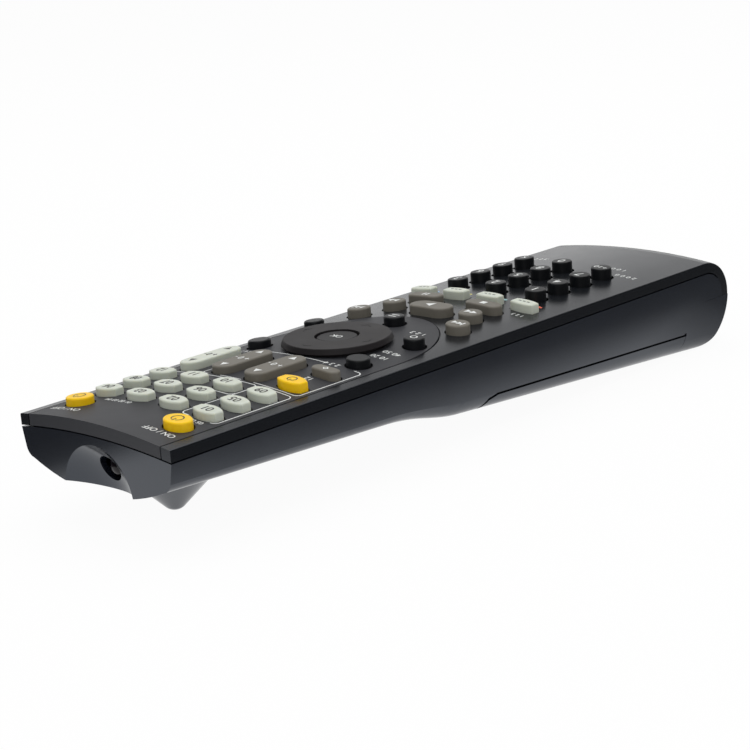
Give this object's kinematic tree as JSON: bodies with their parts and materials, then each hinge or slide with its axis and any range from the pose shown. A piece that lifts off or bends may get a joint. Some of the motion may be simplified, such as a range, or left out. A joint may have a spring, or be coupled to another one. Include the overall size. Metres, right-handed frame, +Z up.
{
  "type": "home theater remote control",
  "caption": "Long handheld remote control with a crowned face, round tilting dial, rocker and push keys, a rolled tail, a sliding battery door and a small foot.",
  "frame": {"origin": "on the table plane, below the middle of the case", "axes": "+Z up, +Y towards the sending end, +X to the right for someone who reads the keys"},
  "size_m": [0.055, 0.2161, 0.0301],
  "materials": {
    "case_top": "satin black moulded ABS",
    "case_bottom": "fine matt black moulded ABS",
    "panel": "satin dark grey lacquer",
    "dial": "satin dark grey-brown",
    "key_white": "milky translucent, soft gloss",
    "key_yellow": "amber translucent, soft gloss",
    "key_grey": "warm grey silicone rubber",
    "key_black": "black silicone rubber",
    "enter": "satin dark grey-brown",
    "actuator": "natural moulded acetal",
    "lamp": "dark smoked epoxy",
    "mat": "dark silicone rubber",
    "board": "green solder mask",
    "fixing": "zinc plated steel",
    "contact": "nickel plated spring steel",
    "cell": "printed shrink sleeve"
  },
  "bodies": {
    "case": {"upper_case": "case_top", "lower_case": "case_bottom", "face_panel": "panel", "keypad_mat": "mat", "circuit_board": "board", "screws": "fixing", "ir_led": "lamp", "batteries": "cell", "battery_contacts": "contact"},
    "battery_door": {"battery_door": "case_bottom"},
    "dial_actuator": {"dial_actuator": "actuator"},
    "dial_ring": {"dial_ring": "dial"},
    "enter_key": {"enter_key": "enter"},
    "receiver_power_key": {"receiver_power_key": "key_yellow"},
    "source_power_key": {"source_power_key": "key_yellow"},
    "tv_power_key": {"tv_power_key": "key_yellow"},
    "tv_input_key": {"tv_input_key": "key_grey"},
    "top_menu_key": {"top_menu_key": "key_black"},
    "menu_key": {"menu_key": "key_black"},
    "return_key": {"return_key": "key_black"},
    "setup_key": {"setup_key": "key_black"},
    "display_key": {"display_key": "key_black"},
    "skip_back_key": {"skip_back_key": "key_grey"},
    "skip_forward_key": {"skip_forward_key": "key_grey"},
    "rewind_key": {"rewind_key": "key_grey"},
    "fast_forward_key": {"fast_forward_key": "key_grey"},
    "play_key": {"play_key": "key_grey"},
    "stop_key": {"stop_key": "key_grey"},
    "pause_key": {"pause_key": "key_grey"},
    "red_key": {"red_key": "key_white"},
    "green_key": {"green_key": "key_white"},
    "yellow_key": {"yellow_key": "key_white"},
    "blue_key": {"blue_key": "key_white"},
    "input_key_01": {"input_key_01": "key_white"},
    "input_key_02": {"input_key_02": "key_white"},
    "input_key_03": {"input_key_03": "key_white"},
    "input_key_04": {"input_key_04": "key_white"},
    "input_key_05": {"input_key_05": "key_white"},
    "input_key_06": {"input_key_06": "key_white"},
    "input_key_07": {"input_key_07": "key_white"},
    "input_key_08": {"input_key_08": "key_white"},
    "input_key_09": {"input_key_09": "key_white"},
    "input_key_10": {"input_key_10": "key_white"},
    "input_key_11": {"input_key_11": "key_white"},
    "input_key_12": {"input_key_12": "key_white"},
    "number_key_01": {"number_key_01": "key_black"},
    "number_key_02": {"number_key_02": "key_black"},
    "number_key_03": {"number_key_03": "key_black"},
    "number_key_04": {"number_key_04": "key_black"},
    "number_key_05": {"number_key_05": "key_black"},
    "number_key_06": {"number_key_06": "key_black"},
    "number_key_07": {"number_key_07": "key_black"},
    "number_key_08": {"number_key_08": "key_black"},
    "number_key_09": {"number_key_09": "key_black"},
    "number_key_10": {"number_key_10": "key_black"},
    "number_key_11": {"number_key_11": "key_black"},
    "number_key_12": {"number_key_12": "key_black"},
    "tv_volume_rocker": {"tv_volume_rocker": "key_grey"},
    "channel_rocker": {"channel_rocker": "key_grey"},
    "volume_rocker": {"volume_rocker": "key_white"}
  },
  "joints": [
    {"name": "receiver_power_key_press", "type": "slide", "parent": "case", "child": "receiver_power_key", "axis": [0, 0, -1], "range_m": [0, 0.0008], "stiffness_N_per_m": 600},
    {"name": "source_power_key_press", "type": "slide", "parent": "case", "child": "source_power_key", "axis": [0, 0, -1], "range_m": [0, 0.0008], "stiffness_N_per_m": 600},
    {"name": "tv_power_key_press", "type": "slide", "parent": "case", "child": "tv_power_key", "axis": [0, 0, -1], "range_m": [0, 0.0008], "stiffness_N_per_m": 600},
    {"name": "tv_input_key_press", "type": "slide", "parent": "case", "child": "tv_input_key", "axis": [0, 0, -1], "range_m": [0, 0.0008], "stiffness_N_per_m": 600},
    {"name": "top_menu_key_press", "type": "slide", "parent": "case", "child": "top_menu_key", "axis": [0, 0, -1], "range_m": [0, 0.0008], "stiffness_N_per_m": 600},
    {"name": "menu_key_press", "type": "slide", "parent": "case", "child": "menu_key", "axis": [0, 0, -1], "range_m": [0, 0.0008], "stiffness_N_per_m": 600},
    {"name": "return_key_press", "type": "slide", "parent": "case", "child": "return_key", "axis": [0, 0, -1], "range_m": [0, 0.0008], "stiffness_N_per_m": 600},
    {"name": "setup_key_press", "type": "slide", "parent": "case", "child": "setup_key", "axis": [0, 0, -1], "range_m": [0, 0.0008], "stiffness_N_per_m": 600},
    {"name": "display_key_press", "type": "slide", "parent": "case", "child": "display_key", "axis": [0, 0, -1], "range_m": [0, 0.0008], "stiffness_N_per_m": 600},
    {"name": "skip_back_key_press", "type": "slide", "parent": "case", "child": "skip_back_key", "axis": [0, 0, -1], "range_m": [0, 0.0008], "stiffness_N_per_m": 600},
    {"name": "skip_forward_key_press", "type": "slide", "parent": "case", "child": "skip_forward_key", "axis": [0, 0, -1], "range_m": [0, 0.0008], "stiffness_N_per_m": 600},
    {"name": "rewind_key_press", "type": "slide", "parent": "case", "child": "rewind_key", "axis": [0, 0, -1], "range_m": [0, 0.0008], "stiffness_N_per_m": 600},
    {"name": "fast_forward_key_press", "type": "slide", "parent": "case", "child": "fast_forward_key", "axis": [0, 0, -1], "range_m": [0, 0.0008], "stiffness_N_per_m": 600},
    {"name": "play_key_press", "type": "slide", "parent": "case", "child": "play_key", "axis": [0, 0, -1], "range_m": [0, 0.0008], "stiffness_N_per_m": 600},
    {"name": "stop_key_press", "type": "slide", "parent": "case", "child": "stop_key", "axis": [0, 0, -1], "range_m": [0, 0.0008], "stiffness_N_per_m": 600},
    {"name": "pause_key_press", "type": "slide", "parent": "case", "child": "pause_key", "axis": [0, 0, -1], "range_m": [0, 0.0008], "stiffness_N_per_m": 600},
    {"name": "red_key_press", "type": "slide", "parent": "case", "child": "red_key", "axis": [0, 0, -1], "range_m": [0, 0.0008], "stiffness_N_per_m": 600},
    {"name": "green_key_press", "type": "slide", "parent": "case", "child": "green_key", "axis": [0, 0, -1], "range_m": [0, 0.0008], "stiffness_N_per_m": 600},
    {"name": "yellow_key_press", "type": "slide", "parent": "case", "child": "yellow_key", "axis": [0, 0, -1], "range_m": [0, 0.0008], "stiffness_N_per_m": 600},
    {"name": "blue_key_press", "type": "slide", "parent": "case", "child": "blue_key", "axis": [0, 0, -1], "range_m": [0, 0.0008], "stiffness_N_per_m": 600},
    {"name": "input_key_01_press", "type": "slide", "parent": "case", "child": "input_key_01", "axis": [0, 0, -1], "range_m": [0, 0.0008], "stiffness_N_per_m": 600},
    {"name": "input_key_02_press", "type": "slide", "parent": "case", "child": "input_key_02", "axis": [0, 0, -1], "range_m": [0, 0.0008], "stiffness_N_per_m": 600},
    {"name": "input_key_03_press", "type": "slide", "parent": "case", "child": "input_key_03", "axis": [0, 0, -1], "range_m": [0, 0.0008], "stiffness_N_per_m": 600},
    {"name": "input_key_04_press", "type": "slide", "parent": "case", "child": "input_key_04", "axis": [0, 0, -1], "range_m": [0, 0.0008], "stiffness_N_per_m": 600},
    {"name": "input_key_05_press", "type": "slide", "parent": "case", "child": "input_key_05", "axis": [0, 0, -1], "range_m": [0, 0.0008], "stiffness_N_per_m": 600},
    {"name": "input_key_06_press", "type": "slide", "parent": "case", "child": "input_key_06", "axis": [0, 0, -1], "range_m": [0, 0.0008], "stiffness_N_per_m": 600},
    {"name": "input_key_07_press", "type": "slide", "parent": "case", "child": "input_key_07", "axis": [0, 0, -1], "range_m": [0, 0.0008], "stiffness_N_per_m": 600},
    {"name": "input_key_08_press", "type": "slide", "parent": "case", "child": "input_key_08", "axis": [0, 0, -1], "range_m": [0, 0.0008], "stiffness_N_per_m": 600},
    {"name": "input_key_09_press", "type": "slide", "parent": "case", "child": "input_key_09", "axis": [0, 0, -1], "range_m": [0, 0.0008], "stiffness_N_per_m": 600},
    {"name": "input_key_10_press", "type": "slide", "parent": "case", "child": "input_key_10", "axis": [0, 0, -1], "range_m": [0, 0.0008], "stiffness_N_per_m": 600},
    {"name": "input_key_11_press", "type": "slide", "parent": "case", "child": "input_key_11", "axis": [0, 0, -1], "range_m": [0, 0.0008], "stiffness_N_per_m": 600},
    {"name": "input_key_12_press", "type": "slide", "parent": "case", "child": "input_key_12", "axis": [0, 0, -1], "range_m": [0, 0.0008], "stiffness_N_per_m": 600},
    {"name": "number_key_01_press", "type": "slide", "parent": "case", "child": "number_key_01", "axis": [0, 0, -1], "range_m": [0, 0.0008], "stiffness_N_per_m": 600},
    {"name": "number_key_02_press", "type": "slide", "parent": "case", "child": "number_key_02", "axis": [0, 0, -1], "range_m": [0, 0.0008], "stiffness_N_per_m": 600},
    {"name": "number_key_03_press", "type": "slide", "parent": "case", "child": "number_key_03", "axis": [0, 0, -1], "range_m": [0, 0.0008], "stiffness_N_per_m": 600},
    {"name": "number_key_04_press", "type": "slide", "parent": "case", "child": "number_key_04", "axis": [0, 0, -1], "range_m": [0, 0.0008], "stiffness_N_per_m": 600},
    {"name": "number_key_05_press", "type": "slide", "parent": "case", "child": "number_key_05", "axis": [0, 0, -1], "range_m": [0, 0.0008], "stiffness_N_per_m": 600},
    {"name": "number_key_06_press", "type": "slide", "parent": "case", "child": "number_key_06", "axis": [0, 0, -1], "range_m": [0, 0.0008], "stiffness_N_per_m": 600},
    {"name": "number_key_07_press", "type": "slide", "parent": "case", "child": "number_key_07", "axis": [0, 0, -1], "range_m": [0, 0.0008], "stiffness_N_per_m": 600},
    {"name": "number_key_08_press", "type": "slide", "parent": "case", "child": "number_key_08", "axis": [0, 0, -1], "range_m": [0, 0.0008], "stiffness_N_per_m": 600},
    {"name": "number_key_09_press", "type": "slide", "parent": "case", "child": "number_key_09", "axis": [0, 0, -1], "range_m": [0, 0.0008], "stiffness_N_per_m": 600},
    {"name": "number_key_10_press", "type": "slide", "parent": "case", "child": "number_key_10", "axis": [0, 0, -1], "range_m": [0, 0.0008], "stiffness_N_per_m": 600},
    {"name": "number_key_11_press", "type": "slide", "parent": "case", "child": "number_key_11", "axis": [0, 0, -1], "range_m": [0, 0.0008], "stiffness_N_per_m": 600},
    {"name": "number_key_12_press", "type": "slide", "parent": "case", "child": "number_key_12", "axis": [0, 0, -1], "range_m": [0, 0.0008], "stiffness_N_per_m": 600},
    {"name": "tv_volume_rocker_rock", "type": "hinge", "parent": "case", "child": "tv_volume_rocker", "pos_m": [-0.00599, 0.05565, 0.0241], "axis": [1, 0, 0], "range_deg": [-3, 3], "stiffness_Nm_per_rad": 0.25},
    {"name": "channel_rocker_rock", "type": "hinge", "parent": "case", "child": "channel_rocker", "pos_m": [0.00599, 0.05565, 0.0241], "axis": [1, 0, 0], "range_deg": [-3, 3], "stiffness_Nm_per_rad": 0.25},
    {"name": "volume_rocker_rock", "type": "hinge", "parent": "case", "child": "volume_rocker", "pos_m": [0.01798, 0.05565, 0.0241], "axis": [1, 0, 0], "range_deg": [-3, 3], "stiffness_Nm_per_rad": 0.25},
    {"name": "dial_tilt_sideways", "type": "hinge", "parent": "case", "child": "dial_actuator", "pos_m": [0, 0.02835, 0.0228], "axis": [0, 1, 0], "range_deg": [-2, 2], "stiffness_Nm_per_rad": 0.5},
    {"name": "dial_tilt_lengthwise", "type": "hinge", "parent": "dial_actuator", "child": "dial_ring", "pos_m": [0, 0.02835, 0.02376], "axis": [1, 0, 0], "range_deg": [-2, 2], "stiffness_Nm_per_rad": 0.5},
    {"name": "enter_key_press", "type": "slide", "parent": "case", "child": "enter_key", "axis": [0, 0, -1], "range_m": [0, 0.0007], "stiffness_N_per_m": 900},
    {"name": "battery_door_slide", "type": "slide", "parent": "case", "child": "battery_door", "axis": [0, 0.766, -0.6428], "range_m": [0, 0.012]}
  ]
}
